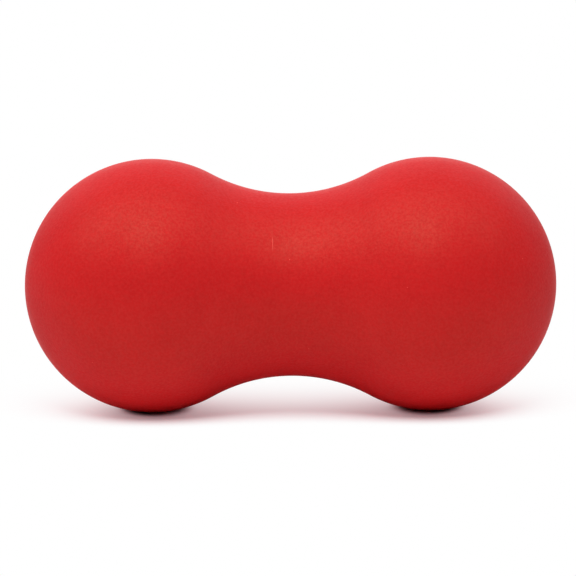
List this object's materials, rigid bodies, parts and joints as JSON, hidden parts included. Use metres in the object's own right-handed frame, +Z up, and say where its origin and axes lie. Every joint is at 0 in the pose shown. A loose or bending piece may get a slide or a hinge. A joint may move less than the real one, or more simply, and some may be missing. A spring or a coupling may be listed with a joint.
{
  "type": "peanut massage ball",
  "caption": "Peanut-shaped massage ball of solid rubber: joined balls that press on either side of the spine, with a waist groove that spares it.",
  "frame": {"origin": "centre of the waist: on the long axis, midway between the two ball centres", "axes": "+X along the long axis through both ball centres; +Z up, with the body lying on both balls; +Y level, away from a viewer at its front"},
  "size_m": [0.1322, 0.063, 0.063],
  "materials": {
    "matte_rubber": "matte, with the fine grain of a blasted mould"
  },
  "bodies": {
    "root": {"peanut_ball": "matte_rubber"}
  },
  "joints": []
}
